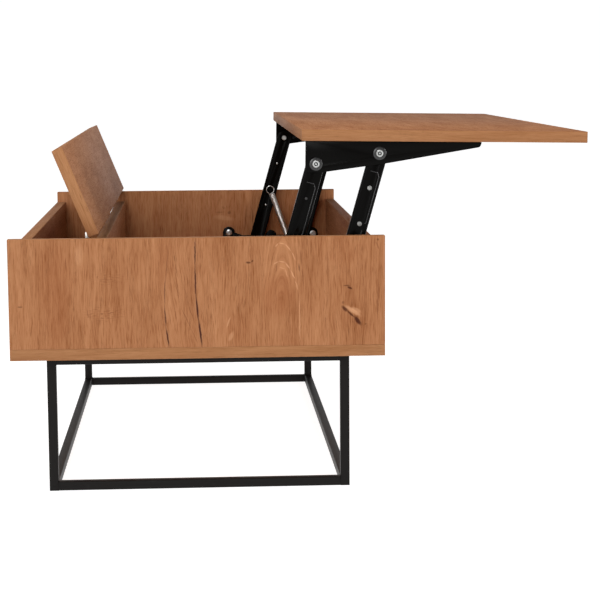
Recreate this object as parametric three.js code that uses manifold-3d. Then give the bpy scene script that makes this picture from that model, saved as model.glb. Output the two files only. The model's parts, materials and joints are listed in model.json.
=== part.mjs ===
// A lift top coffee table: a wooden case on a square tube frame, a lift top on two
// parallel arm mechanisms, and a narrow hinged lid over a side compartment.
// Millimetres, +Z up. X runs across the table, towards the side the top rises to,
// and Y runs along it. The table is drawn with the top raised and the lid open.

import * as THREE from "three";
import { mergeVertices } from "three/addons/utils/BufferGeometryUtils.js";
import Module from "manifold-3d";

const wasm = await Module();
wasm.setup();

// ---------------------------------------------------------------- driving sizes

const caseWidth = 600;
const caseLength = 1100;
const board = 18;
const endPanelHeight = 176;
const lidGap = 3;

const frameHeight = 223;
const tube = 15;
const tubeWall = 1.5;
const frameHalfX = 246;
const frameHalfY = 503;

const lidWidth = 148;
const lidOverhang = 6;
const lidToTopGap = 3;
const endGap = 2;
const lidOpenAngle = THREE.MathUtils.degToRad(68);

const topWidth = 460;
const topTilt = 0.0162;
const raisedRearX = 169;
const raisedRearZ = 568.1;
const armLean = THREE.MathUtils.degToRad(15.8);

const sheetSteel = 2.5;
const roundSides = 20;

// The middle of the raised table's outline, where the origin lies.
const originX = 164.62;

// ---------------------------------------------------------------- worked-out places

const halfWidth = caseWidth / 2;
const halfLength = caseLength / 2;
const insideY = halfLength - board;
const floorZ = frameHeight + board;
const rimZ = floorZ + endPanelHeight;
const closedLidZ = rimZ - board;
const wallZ = closedLidZ - lidGap;
const lidHalfLength = insideY - endGap;
const lidLeftX = -halfWidth - lidOverhang;
const lidRightX = lidLeftX + lidWidth;
const topClosedX = lidRightX + lidToTopGap;
const dividerLeftX = lidRightX - 14;

// ---------------------------------------------------------------- finishes

const finishes = {
  oak: { color: 0xa9744a, roughness: 0.55, metalness: 0.0 },
  blackTube: { color: 0x141414, roughness: 0.45, metalness: 0.3 },
  blackSteel: { color: 0x0e0e10, roughness: 0.38, metalness: 0.4 },
  zinc: { color: 0xb9bcc0, roughness: 0.3, metalness: 0.9 },
  springWire: { color: 0x8e9192, roughness: 0.35, metalness: 0.9 },
  nickel: { color: 0xc8c8c4, roughness: 0.25, metalness: 0.9 },
  clearPad: { color: 0xd8d8d2, roughness: 0.5, metalness: 0.0 },
};

// ---------------------------------------------------------------- shared helpers

function node(parent, name, geometry, finish) {
  const material = new THREE.MeshStandardMaterial(finishes[finish]);
  const mesh = new THREE.Mesh(geometry, material);
  mesh.name = name;
  parent.add(mesh);
  return mesh;
}

// A straight-sided block between two corners.
function block(x0, x1, y0, y1, z0, z1) {
  const geometry = new THREE.BoxGeometry(x1 - x0, y1 - y0, z1 - z0);
  geometry.translate((x0 + x1) / 2, (y0 + y1) / 2, (z0 + z1) / 2);
  return geometry;
}

// An outline in X and Z, made as thick as y0 to y1.
function slab(shape, y0, y1, bevel = 0) {
  const geometry = new THREE.ExtrudeGeometry(shape, {
    depth: y1 - y0 - 2 * bevel,
    curveSegments: 8,
    bevelEnabled: bevel > 0,
    bevelThickness: bevel,
    bevelSize: bevel,
    bevelOffset: -bevel,
    bevelSegments: 3,
  });
  geometry.rotateX(Math.PI / 2);
  geometry.translate(0, y1 - bevel, 0);
  return geometry;
}

// A round bar along Y.
function bar(x, z, radius, y0, y1) {
  const geometry = new THREE.CylinderGeometry(radius, radius, y1 - y0, roundSides);
  geometry.translate(x, (y0 + y1) / 2, 0);
  geometry.translate(0, 0, z);
  return geometry;
}

// A round disc with its axis along Z.
function disc(x, y, radius, z0, z1) {
  const geometry = new THREE.CylinderGeometry(radius, radius, z1 - z0, roundSides);
  geometry.rotateX(Math.PI / 2);
  geometry.translate(x, y, (z0 + z1) / 2);
  return geometry;
}

function toSolid(geometry) {
  const bare = geometry.clone();
  bare.deleteAttribute("normal");
  bare.deleteAttribute("uv");
  const merged = mergeVertices(bare, 1e-4);
  const vertProperties = new Float32Array(merged.attributes.position.array);
  const triVerts = new Uint32Array(merged.index.array);
  return new wasm.Manifold(new wasm.Mesh({ numProp: 3, vertProperties, triVerts }));
}

function toGeometry(solid) {
  const mesh = solid.getMesh();
  const geometry = new THREE.BufferGeometry();
  geometry.setAttribute("position", new THREE.BufferAttribute(mesh.vertProperties, 3));
  geometry.setIndex(new THREE.BufferAttribute(mesh.triVerts, 1));
  return geometry;
}

function joined(first, ...others) {
  return others.reduce((sum, other) => sum.add(toSolid(other)), toSolid(first));
}

function cut(solid, ...holes) {
  return holes.reduce((rest, hole) => rest.subtract(toSolid(hole)), solid);
}

// The far end's copy of a geometry drawn for the near end.
function mirrored(geometry) {
  const copy = geometry.index ? geometry.toNonIndexed() : geometry.clone();
  const position = copy.attributes.position;
  for (let i = 0; i < position.count; i += 3) {
    const corners = [i, i + 2, i + 1].map((k) => [
      position.getX(k), -position.getY(k), position.getZ(k),
    ]);
    corners.forEach((corner, k) => position.setXYZ(i + k, ...corner));
  }
  return copy;
}

// A bar with round ends, from the origin up Z.
function roundEndedShape(length, halfSpan) {
  const shape = new THREE.Shape();
  shape.absarc(0, length, halfSpan, 0, Math.PI, false);
  shape.absarc(0, 0, halfSpan, Math.PI, 2 * Math.PI, false);
  shape.closePath();
  return shape;
}

// Turns a vector in X and Z about +Y, which takes +Z towards +X.
function turned(x, z, angle) {
  return {
    x: x * Math.cos(angle) + z * Math.sin(angle),
    z: z * Math.cos(angle) - x * Math.sin(angle),
  };
}

// ---------------------------------------------------------------- base frame

// A square tube, open at both ends, with its run along X, Y or Z.
function squareTube(axis, start, end) {
  const half = tube / 2;
  const inner = half - tubeWall;
  const section = new THREE.Shape();
  section.moveTo(-half, -half);
  section.lineTo(half, -half);
  section.lineTo(half, half);
  section.lineTo(-half, half);
  section.closePath();
  const bore = new THREE.Path();
  bore.moveTo(-inner, -inner);
  bore.lineTo(-inner, inner);
  bore.lineTo(inner, inner);
  bore.lineTo(inner, -inner);
  bore.closePath();
  section.holes.push(bore);
  const geometry = new THREE.ExtrudeGeometry(section, { depth: end - start, bevelEnabled: false });
  geometry.translate(0, 0, start);
  if (axis === "x") geometry.rotateY(Math.PI / 2);
  if (axis === "y") geometry.rotateX(-Math.PI / 2);
  return geometry;
}

function buildFrame(parent) {
  const half = tube / 2;
  const legX = frameHalfX - half;
  const legY = frameHalfY - half;
  const levels = { bottom: half, top: frameHeight - half };
  const ends = { near: -1, far: 1 };
  const sides = { left: -1, right: 1 };
  for (const [endName, end] of Object.entries(ends)) {
    for (const [sideName, side] of Object.entries(sides)) {
      const leg = squareTube("z", 0, frameHeight);
      node(parent, `${endName}_${sideName}_leg`, leg, "blackTube")
        .position.set(side * legX, end * legY, 0);
    }
    for (const [levelName, z] of Object.entries(levels)) {
      const rail = squareTube("x", -legX + half, legX - half);
      node(parent, `${endName}_${levelName}_rail`, rail, "blackTube")
        .position.set(0, end * legY, z);
    }
  }
  for (const [sideName, side] of Object.entries(sides)) {
    for (const [levelName, z] of Object.entries(levels)) {
      const rail = squareTube("y", -legY + half, legY - half);
      node(parent, `${sideName}_${levelName}_rail`, rail, "blackTube")
        .position.set(side * legX, 0, z);
    }
  }
}

// ---------------------------------------------------------------- wooden case

function buildCase(parent) {
  const dividerRightX = dividerLeftX + board;
  const innerX = halfWidth - board;
  const base = block(-halfWidth, halfWidth, -halfLength, halfLength, frameHeight, floorZ);
  const near = block(-halfWidth, halfWidth, -halfLength, -insideY, floorZ, rimZ);
  const far = block(-halfWidth, halfWidth, insideY, halfLength, floorZ, rimZ);
  const left = block(-halfWidth, -innerX, -insideY, insideY, floorZ, wallZ);
  const right = block(innerX, halfWidth, -insideY, insideY, floorZ, wallZ);
  const divider = block(dividerLeftX, dividerRightX, -insideY, insideY, floorZ, wallZ);
  node(parent, "base_board", base, "oak");
  node(parent, "near_end_panel", near, "oak");
  node(parent, "far_end_panel", far, "oak");
  node(parent, "left_side_wall", left, "oak");
  node(parent, "right_side_wall", right, "oak");
  node(parent, "divider", divider, "oak");
}

// ---------------------------------------------------------------- narrow lid and its cup hinges

const lidAxis = { x: lidRightX + 6.3, z: rimZ + 2.2 };
const hingeY = lidHalfLength - 75;
const cupRadius = 17.3;
const cupDepth = 11.5;
const cupSetback = 22.5;
const linkPivot = { x: dividerLeftX - 7, z: wallZ - 4 };
const linkLength = 26;

const cupWall = 1.2;
const cupPlate = { halfWidth: 11, halfLength: 28, below: 1.2, clear: 0.3 };

// Drawn with the lid shut, in the hinge axis's own frame.
function hingeCup(x, y, z) {
  const { halfWidth: across, halfLength: along, below, clear } = cupPlate;
  const plate = block(x - across, x + across, y - along, y + along, z - below, z - clear);
  const shell = disc(x, y, cupRadius, z - below, z + cupDepth);
  const hollow = disc(x, y, cupRadius - cupWall, z - below - 1, z + cupDepth - cupWall);
  return toGeometry(cut(joined(plate, shell), hollow));
}

function lidPanel(x0, x1, z0) {
  const bores = [-hingeY, hingeY].map((y) =>
    disc(x1 - cupSetback, y, cupRadius + 0.3, z0 - 1, z0 + cupDepth + 0.4),
  );
  const panel = block(x0, x1, -lidHalfLength, lidHalfLength, z0, z0 + board);
  return toGeometry(cut(toSolid(panel), ...bores));
}

// Heights are counted down from the top of the divider.
const mountPlate = { thickness: 3, halfLength: 16, bottom: 52, top: 22 };
const mountArm = { halfWidth: 5.5, halfDepth: 4, bottom: 58, top: 8.5 };
const noseHalf = 3;

function hingeArm(y) {
  const near = y - mountArm.halfWidth;
  const far = y + mountArm.halfWidth;
  const plate = block(
    dividerLeftX - mountPlate.thickness, dividerLeftX,
    y - mountPlate.halfLength, y + mountPlate.halfLength,
    wallZ - mountPlate.bottom, wallZ - mountPlate.top,
  );
  const arm = block(
    linkPivot.x - mountArm.halfDepth, dividerLeftX - 1, near, far,
    wallZ - mountArm.bottom, wallZ - mountArm.top,
  );
  const nose = block(
    linkPivot.x - noseHalf, linkPivot.x + noseHalf, near, far,
    wallZ - mountArm.top - 0.5, linkPivot.z + noseHalf,
  );
  return toGeometry(joined(plate, arm, nose));
}

const linkStrap = { halfWidth: 3, inside: 6, outside: 7.6 };
const linkRivetRadius = 2.2;

// Two side straps and the rivet that ties their far ends.
function hingeLink(y) {
  const { halfWidth: half, inside, outside } = linkStrap;
  const strap = roundEndedShape(linkLength, half);
  const nearStrap = slab(strap, y - outside, y - inside);
  const farStrap = slab(strap, y + inside, y + outside);
  const rivetHalf = outside - 0.3;
  const rivet = bar(0, linkLength - 2, linkRivetRadius, y - rivetHalf, y + rivetHalf);
  return toGeometry(joined(nearStrap, rivet, farStrap));
}

const padRadius = 5;
const padClearance = 0.3;
const lidPadSetback = 14;

function buildNarrowLid(parent) {
  const lid = new THREE.Group();
  lid.position.set(lidAxis.x, 0, lidAxis.z);
  lid.rotation.y = lidOpenAngle;
  parent.add(lid);
  const x0 = lidLeftX - lidAxis.x;
  const x1 = lidRightX - lidAxis.x;
  const z0 = closedLidZ - lidAxis.z;
  node(lid, "narrow_lid", lidPanel(x0, x1, z0), "oak");

  const links = new THREE.Group();
  links.position.set(linkPivot.x, 0, linkPivot.z);
  parent.add(links);
  for (const [name, y] of Object.entries({ near: -hingeY, far: hingeY })) {
    node(lid, `${name}_hinge_cup`, hingeCup(x1 - cupSetback, y, z0), "nickel");
    node(parent, `${name}_hinge_arm`, hingeArm(y), "nickel");
    node(links, `${name}_hinge_link`, hingeLink(y), "nickel");
    const pad = disc(x0 + lidPadSetback, y, padRadius, z0 - lidGap + padClearance, z0);
    node(lid, `${name}_lid_pad`, pad, "clearPad");
  }
}

// ---------------------------------------------------------------- lift mechanism

// Places across the mechanism, counted inwards from the end panel's inner face.
const basePlate = { from: 0, to: 3 };
const topPlate = { from: 6, to: 6 + sheetSteel };
const arm = { from: 10, to: 20, halfSpan: 14.8, bend: 3.5 };
const springDepth = 27;
const pinRadius = 5;
const pinHeadRadius = 8;
const pinHead = { from: arm.from + sheetSteel + 0.4, to: 16.5 };
const springPin = { radius: 3, headRadius: 4.6, to: 34 };
const runningGap = 0.1;
const openPivotGap = 1.1;

// Pivot places on the top, from its rear lower edge.
const rearTopPivot = { x: 23, z: -37 };
const frontTopPivot = { x: 125, z: -19.2 };

const raisedPivot = turned(rearTopPivot.x, rearTopPivot.z, topTilt);
raisedPivot.x += raisedRearX;
raisedPivot.z += raisedRearZ;
const closedPivot = { x: topClosedX + rearTopPivot.x, z: closedLidZ + rearTopPivot.z };

// Both places of the rear pivot and the arm's raised lean fix its length and lower pivot.
const riseX = raisedPivot.x - closedPivot.x;
const riseZ = raisedPivot.z - closedPivot.z;
const halfTravel = armLean + Math.atan2(riseZ, riseX);
const armLength = Math.hypot(riseX, riseZ) / (2 * Math.sin(halfTravel));
const rearBasePivot = {
  x: raisedPivot.x - armLength * Math.sin(armLean),
  z: raisedPivot.z - armLength * Math.cos(armLean),
};
const pivotStep = { x: 102.1, z: 17.0 };
const frontBasePivot = { x: rearBasePivot.x + pivotStep.x, z: rearBasePivot.z + pivotStep.z };

// From the rear lower pivot.
const stopBolt = { x: 133.3, z: 48 };
const plateBolt = { x: -48.8, z: 50 };
const springAnchor = { x: 98, z: -12 };
const stopShank = 4;
const plateShank = 3;
const boltHeadRadius = 7;
const springPinUp = 150;

function inward(depth) {
  return -insideY + depth;
}

function liftArm(lowerGap, upperGap, hasSpringPin) {
  const shape = roundEndedShape(armLength, arm.halfSpan);
  const pocketShape = roundEndedShape(armLength, arm.halfSpan - sheetSteel);
  const outer = slab(shape, inward(arm.from), inward(arm.to + arm.bend), arm.bend);
  const trim = block(-50, 50, inward(arm.to), inward(arm.to + 20), -50, armLength + 50);
  const pocket = slab(pocketShape, inward(arm.from + sheetSteel), inward(arm.to + 1));
  const from = inward(arm.from - 1);
  const to = inward(arm.to + 1);
  const holes = [
    bar(0, 0, pinRadius + lowerGap, from, to),
    bar(0, armLength, pinRadius + upperGap, from, to),
  ];
  if (hasSpringPin) holes.push(bar(0, springPinUp, springPin.radius + 0.05, from, to));
  return toGeometry(cut(toSolid(outer), trim, pocket, ...holes));
}

// A post that turns in the arm: shank, and a round head in the arm's hollow.
function pivotPin(x, z, shankFrom) {
  const shank = bar(x, z, pinRadius, inward(shankFrom), inward(15));
  const head = bar(x, z, pinHeadRadius, inward(pinHead.from), inward(pinHead.to));
  return toGeometry(joined(shank, head));
}

// The plate rises in a lobe round each bolt and one more between the arms.
const plateLobe = plateBolt.x - 13;
const stopLobeRadius = 11.7;
const middleLobe = { x: 43, radius: 11 };
const plateShelf = 44;
const plateRight = stopBolt.x + stopLobeRadius;
const footWidth = 38;
const anchorTab = { half: 10, from: 34, to: 37, above: 8 };
const anchorRadius = 3;

function baseBracket() {
  const bottom = floorZ - rearBasePivot.z;
  const shelf = plateShelf;
  const outline = new THREE.Shape();
  outline.moveTo(plateLobe, bottom);
  outline.lineTo(plateRight, bottom);
  outline.absarc(stopBolt.x, stopBolt.z, stopLobeRadius, 0, Math.PI, false);
  outline.lineTo(stopBolt.x - 20, shelf);
  outline.lineTo(middleLobe.x + 23, shelf);
  outline.absarc(middleLobe.x, shelf, middleLobe.radius, 0, Math.PI, false);
  outline.lineTo(plateBolt.x + 28.8, shelf);
  outline.absarc(plateBolt.x, plateBolt.z, plateBolt.x - plateLobe, 0, Math.PI, false);
  outline.closePath();
  const plate = slab(outline, inward(basePlate.from), inward(basePlate.to));
  const foot = block(
    plateLobe, plateRight, inward(1), inward(footWidth), bottom, bottom + basePlate.to,
  );
  const tab = block(
    springAnchor.x - anchorTab.half, springAnchor.x + anchorTab.half,
    inward(anchorTab.from), inward(anchorTab.to),
    bottom + 1, springAnchor.z + anchorTab.above,
  );
  const anchor = bar(
    springAnchor.x, springAnchor.z, anchorRadius, inward(22), inward(anchorTab.from + 1),
  );
  const holeTo = inward(basePlate.to + 1);
  const holeFrom = inward(basePlate.from - 1);
  const holes = [
    bar(0, 0, pinRadius + runningGap, holeFrom, holeTo),
    bar(pivotStep.x, pivotStep.z, pinRadius + runningGap, holeFrom, holeTo),
    bar(stopBolt.x, stopBolt.z, stopShank + runningGap, holeFrom, holeTo),
    bar(plateBolt.x, plateBolt.z, plateShank + runningGap, holeFrom, holeTo),
  ];
  return toGeometry(cut(joined(plate, foot, tab, anchor), ...holes));
}

// Drawn from the top's rear lower edge: deep at the pivots and narrow at the tip.
const plateGap = 0.3;
const bracketEdge = { rear: 6, tip: 289, tipDepth: 8, depth: 50.5, corner: 4.5 };
const bracketKnee = { x: 138, z: -35 };
const flangeWidth = 32;

function topBracket() {
  const { rear, tip, tipDepth, depth, corner } = bracketEdge;
  const outline = new THREE.Shape();
  outline.moveTo(rear, -plateGap);
  outline.lineTo(rear, corner - depth);
  outline.quadraticCurveTo(rear, -depth, rear + corner, -depth);
  outline.lineTo(rearTopPivot.x + 9, -depth);
  outline.lineTo(bracketKnee.x, bracketKnee.z);
  outline.lineTo(tip - 6, -tipDepth - 1);
  outline.quadraticCurveTo(tip, -tipDepth, tip, -plateGap);
  outline.closePath();
  const plate = slab(outline, inward(topPlate.from), inward(topPlate.to));
  const flange = block(
    rear, tip, inward(topPlate.from + 0.5), inward(flangeWidth), -plateGap - sheetSteel, -plateGap,
  );
  const from = inward(topPlate.from - 1);
  const to = inward(topPlate.to + 1);
  const holes = [rearTopPivot, frontTopPivot].map((pivot) =>
    bar(pivot.x, pivot.z, pinRadius + runningGap, from, to),
  );
  return toGeometry(cut(joined(plate, flange), ...holes));
}

const washer = { radius: 10.5, from: 3.4 };
const outerHead = { radius: 5.8, from: 2.2, to: 3.2 };

function pivotWasher(pivot) {
  const to = inward(topPlate.from - runningGap);
  const ring = bar(pivot.x, pivot.z, washer.radius, inward(washer.from), to);
  const bore = bar(pivot.x, pivot.z, pinRadius + runningGap, inward(3), inward(topPlate.from + 1));
  return toGeometry(cut(toSolid(ring), bore));
}

function topPin(pivot) {
  const { x, z } = pivot;
  const head = bar(x, z, outerHead.radius, inward(outerHead.from), inward(outerHead.to));
  const innerHead = bar(x, z, pinHeadRadius, inward(pinHead.from), inward(pinHead.to));
  const shank = bar(x, z, pinRadius, inward(outerHead.from + 0.4), inward(15));
  return toGeometry(joined(shank, head, innerHead));
}

function boltWithHead(shankRadius, headRadius, headFrom, headTo) {
  const shank = bar(0, 0, shankRadius, inward(0.5), inward(headFrom + 0.5));
  const head = bar(0, 0, headRadius, inward(headFrom), inward(headTo));
  return toGeometry(joined(shank, head));
}

// The stop's sleeve reaches across the arm's edge.
function stopBoltSolid() {
  const shank = bar(0, 0, stopShank, inward(0.5), inward(6));
  const sleeve = bar(0, 0, stopShank + 1.5, inward(3.2), inward(18));
  const head = bar(0, 0, boltHeadRadius, inward(20.4), inward(24));
  const neck = bar(0, 0, stopShank, inward(17), inward(21));
  return toGeometry(joined(shank, sleeve, neck, head));
}

// The coil's outer shape with a ring at each end, from the lower anchor up Z.
const coilRadius = 6;
const coilSides = 14;
const springRings = { lower: 7, upper: 8.2, wire: 1.1 };

function springBody(length) {
  const { lower, upper, wire } = springRings;
  const coilLength = length - lower - upper;
  const coil = new THREE.CylinderGeometry(coilRadius, coilRadius, coilLength, coilSides);
  coil.rotateX(Math.PI / 2);
  coil.translate(0, inward(springDepth), lower + coilLength / 2);
  const rings = [[lower, 0], [upper, length]].map(([radius, z]) => {
    const ring = new THREE.TorusGeometry(radius, wire, 8, roundSides);
    ring.rotateX(Math.PI / 2);
    ring.translate(0, inward(springDepth), z);
    return ring;
  });
  return toGeometry(joined(coil, ...rings));
}

function buildMechanism(parent, liftTop, end) {
  const sided = (geometry) => (end === "near" ? geometry : mirrored(geometry));
  const base = new THREE.Group();
  base.position.set(rearBasePivot.x, 0, rearBasePivot.z);
  parent.add(base);
  node(base, `${end}_base_bracket`, sided(baseBracket()), "blackSteel");
  node(base, `${end}_rear_base_pin`, sided(pivotPin(0, 0, 0.5)), "zinc");
  node(base, `${end}_front_base_pin`, sided(pivotPin(pivotStep.x, pivotStep.z, 0.5)), "zinc");
  node(base, `${end}_stop_bolt`, sided(stopBoltSolid()), "zinc")
    .position.set(stopBolt.x, 0, stopBolt.z);
  node(base, `${end}_plate_bolt`, sided(boltWithHead(plateShank, boltHeadRadius, 3.2, 8)), "zinc")
    .position.set(plateBolt.x, 0, plateBolt.z);

  const upperGaps = { rear: end === "near" ? runningGap : openPivotGap, front: openPivotGap };
  const lowerPivots = { rear: rearBasePivot, front: frontBasePivot };
  for (const [place, pivot] of Object.entries(lowerPivots)) {
    const swing = new THREE.Group();
    swing.position.set(pivot.x, 0, pivot.z);
    swing.rotation.y = armLean;
    parent.add(swing);
    const solid = liftArm(runningGap, upperGaps[place], place === "rear");
    node(swing, `${end}_${place}_arm`, sided(solid), "blackSteel");
    if (place === "rear") {
      const { radius, headRadius, to } = springPin;
      const pin = joined(
        bar(0, springPinUp, radius, inward(arm.from + 0.5), inward(to - 1)),
        bar(0, springPinUp, headRadius, inward(to - 2), inward(to)),
      );
      node(swing, `${end}_spring_pin`, sided(toGeometry(pin)), "zinc");
    }
  }

  node(liftTop, `${end}_top_bracket`, sided(topBracket()), "blackSteel");
  const topPivots = { rear: rearTopPivot, front: frontTopPivot };
  for (const [place, pivot] of Object.entries(topPivots)) {
    node(liftTop, `${end}_${place}_top_pin`, sided(topPin(pivot)), "zinc");
    node(liftTop, `${end}_${place}_washer`, sided(pivotWasher(pivot)), "blackSteel");
  }

  const pull = turned(0, springPinUp, armLean);
  const alongX = pull.x - springAnchor.x;
  const alongZ = pull.z - springAnchor.z;
  const spring = new THREE.Group();
  spring.position.set(rearBasePivot.x + springAnchor.x, 0, rearBasePivot.z + springAnchor.z);
  spring.rotation.y = Math.atan2(alongX, alongZ);
  parent.add(spring);
  const solid = springBody(Math.hypot(alongX, alongZ));
  node(spring, `${end}_spring`, sided(solid), "springWire");
}

// ---------------------------------------------------------------- lift top

const topPadY = 400;

function buildLiftTop(parent) {
  const top = new THREE.Group();
  top.position.set(raisedRearX, 0, raisedRearZ);
  top.rotation.y = topTilt;
  parent.add(top);
  const panel = block(0, topWidth, -lidHalfLength, lidHalfLength, 0, board);
  node(top, "lift_top_panel", panel, "oak");
  const padX = halfWidth - board / 2 - topClosedX;
  for (const [name, y] of Object.entries({ near: -topPadY, far: topPadY })) {
    const pad = disc(padX, y, padRadius, -lidGap + padClearance, -0.1);
    node(top, `${name}_top_pad`, pad, "clearPad");
  }
  return top;
}

// ---------------------------------------------------------------- the table

const table = new THREE.Group();
table.position.x = -originX;
buildFrame(table);
buildCase(table);
buildNarrowLid(table);
const liftTop = buildLiftTop(table);
buildMechanism(table, liftTop, "near");
buildMechanism(table, liftTop, "far");

export default table;
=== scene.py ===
# %% [markdown]
# # A lift top coffee table
#
# The table is a low wooden case on a thin black tube frame. Its top rises on two arm
# mechanisms, and a narrow lid opens over a side compartment. The design is already
# settled: every part has its place and its size. What is left is to give each part
# the surface and the small detail that the real one has.
#
# The design is loaded first.

# %% Load the design
import json
import math

import bmesh
import bpy
import numpy as np
from mathutils import Matrix, Vector

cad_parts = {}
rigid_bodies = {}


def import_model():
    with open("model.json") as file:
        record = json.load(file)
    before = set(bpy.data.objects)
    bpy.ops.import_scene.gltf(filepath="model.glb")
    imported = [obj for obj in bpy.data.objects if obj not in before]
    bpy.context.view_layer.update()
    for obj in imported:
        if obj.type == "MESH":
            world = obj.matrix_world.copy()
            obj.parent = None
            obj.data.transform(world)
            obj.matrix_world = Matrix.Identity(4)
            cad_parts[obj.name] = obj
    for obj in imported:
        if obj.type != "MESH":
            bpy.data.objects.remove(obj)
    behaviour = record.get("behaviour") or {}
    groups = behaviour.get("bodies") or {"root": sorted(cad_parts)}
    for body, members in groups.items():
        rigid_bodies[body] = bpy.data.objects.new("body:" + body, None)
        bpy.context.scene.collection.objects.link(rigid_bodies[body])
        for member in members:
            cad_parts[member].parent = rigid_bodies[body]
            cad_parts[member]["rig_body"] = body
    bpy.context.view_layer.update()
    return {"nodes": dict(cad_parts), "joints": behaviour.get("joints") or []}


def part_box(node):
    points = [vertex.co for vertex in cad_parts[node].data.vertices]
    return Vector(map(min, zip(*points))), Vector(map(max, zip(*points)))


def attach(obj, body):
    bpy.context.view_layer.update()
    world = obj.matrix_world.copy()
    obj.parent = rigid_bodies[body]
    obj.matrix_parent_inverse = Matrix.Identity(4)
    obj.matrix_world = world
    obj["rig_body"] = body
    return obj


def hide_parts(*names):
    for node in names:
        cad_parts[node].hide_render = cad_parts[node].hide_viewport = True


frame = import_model()
MM = 0.001
X_AXIS = Vector((1, 0, 0))
Y_AXIS = Vector((0, 1, 0))
Z_AXIS = Vector((0, 0, 1))
scene = bpy.context.scene
joint_at = {joint["name"]: Vector(joint["pos_m"]) for joint in frame["joints"]}


# %% [markdown]
# ## The camera
#
# The table is seen from its near end, at about the height of a seated person's eyes
# and from far enough away that its long sides close up only gently. A long lens does
# that. The camera is turned a little to the right and looks slightly down.

# %% Set the camera
CASE_MIDDLE = (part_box("base_board")[0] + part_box("base_board")[1]) / 2
NEAR_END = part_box("near_end_panel")[0].y
CAMERA_ASIDE = -0.0012
CAMERA_BACK = 2.9003
CAMERA_HEIGHT = 0.6916
CAMERA_PLACE = Vector((CASE_MIDDLE.x + CAMERA_ASIDE, NEAR_END - CAMERA_BACK, CAMERA_HEIGHT))
CAMERA_TURN = 0.0566
CAMERA_DIP = 0.1289
CAMERA_ROLL = -0.0066
CAMERA_LENS = 109.88


def camera_rotation(turn, dip, roll):
    """The camera's axes, as columns, for a turn to the right, a dip down and a roll."""
    ahead = Vector(
        (math.sin(turn) * math.cos(dip), math.cos(turn) * math.cos(dip), -math.sin(dip))
    )
    right = Vector((math.cos(turn), -math.sin(turn), 0))
    above = right.cross(ahead)
    side = math.cos(roll) * right + math.sin(roll) * above
    top = math.cos(roll) * above - math.sin(roll) * right
    return Matrix((side, top, -ahead)).transposed().to_4x4()


camera_data = bpy.data.cameras.new("camera")
camera_data.lens = CAMERA_LENS
camera_data.sensor_width = 36
camera_data.clip_end = 60
camera = bpy.data.objects.new("camera", camera_data)
scene.collection.objects.link(camera)
camera.matrix_world = Matrix.Translation(CAMERA_PLACE) @ camera_rotation(
    CAMERA_TURN, CAMERA_DIP, CAMERA_ROLL
)
scene.camera = camera
print("camera at", [round(v, 3) for v in CAMERA_PLACE])


# %% [markdown]
# ## A short way to write node trees
#
# Materials and Geometry Nodes are both trees of nodes. Writing each node by hand takes
# many lines, so one small class adds a node, sets its choices, and fills its inputs. An
# input may be a number or the output of another node. The same class serves for both
# kinds of tree.

# %% A helper for node trees
class Tree:
    """Adds nodes to a tree and joins them up."""

    def __init__(self, tree):
        self.tree = tree

    def add(self, kind, inputs=(), **choices):
        """One node. Inputs is a dict from a socket's name or number to a value or output."""
        node = self.tree.nodes.new(kind)
        for choice, value in choices.items():
            setattr(node, choice, value)
        for socket_name, value in dict(inputs).items():
            socket = node.inputs[socket_name]
            if isinstance(value, bpy.types.NodeSocket):
                self.tree.links.new(value, socket)
            else:
                socket.default_value = value
        return node.outputs

    def math(self, operation, first, second=0.0, third=0.0):
        inputs = {0: first, 1: second, 2: third}
        return self.add("ShaderNodeMath", inputs, operation=operation)[0]

    def between(self, value, low, high, out_low=0.0, out_high=1.0):
        """Value from low to high, turned smoothly into out_low to out_high."""
        inputs = {0: value, 1: low, 2: high, 3: out_low, 4: out_high}
        return self.add("ShaderNodeMapRange", inputs, interpolation_type="SMOOTHSTEP")[0]

    def blend(self, share, first, second, way="MIX"):
        """Two colours mixed by share."""
        inputs = {0: share, 6: first, 7: second}
        return self.add("ShaderNodeMix", inputs, data_type="RGBA", blend_type=way)[2]

    def noise(self, place, scale, detail=3.0, roughness=0.5):
        inputs = {"Vector": place, "Scale": scale, "Detail": detail, "Roughness": roughness}
        return self.add("ShaderNodeTexNoise", inputs)[0]


def new_material(name):
    """An empty material with its shader: (material, tree, shader node)."""
    material = bpy.data.materials.new(name)
    material.use_nodes = True
    return material, Tree(material.node_tree), material.node_tree.nodes["Principled BSDF"]


print("node tree helper is ready")


# %% [markdown]
# ## Light and floor
#
# Furniture is often shown in a white room with light from all round, so that its
# colours look even and no hard shadow hides a joint. A white world gives that even
# light. It is dimmer overhead, so that the inside of the case stays dark. Three soft
# panels add a little direction: one in front for the end panel, one high up for the
# raised top, and a narrow one at the side that draws a bright line on rounded metal.
#
# The floor is plain and pale. It glows a little, as a lit white table does, which keeps
# the shadow under the frame faint.

# %% Light the room
def soft_panel(name, place, aim, size, power):
    """A rectangular area light at place that faces aim."""
    data = bpy.data.lights.new(name, "AREA")
    data.shape = "RECTANGLE"
    data.size = size[0]
    data.size_y = size[1]
    data.energy = power
    light = bpy.data.objects.new(name, data)
    scene.collection.objects.link(light)
    light.location = place
    light.rotation_euler = (Vector(aim) - Vector(place)).to_track_quat("-Z", "Y").to_euler()
    return light


def white_room():
    """A white world that is bright at eye level and dimmer overhead."""
    room = bpy.data.worlds.new("white_room")
    room.use_nodes = True
    tree = Tree(room.node_tree)
    looking = tree.add("ShaderNodeTexCoord")[0]
    height = tree.add("ShaderNodeSeparateXYZ", {0: looking})[2]
    strength = tree.between(height, *ROOM_HEIGHTS, HORIZON_LIGHT, OVERHEAD_LIGHT)
    background = room.node_tree.nodes["Background"]
    background.inputs["Color"].default_value = (1, 1, 1, 1)
    tree.tree.links.new(strength, background.inputs["Strength"])
    return room


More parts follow.
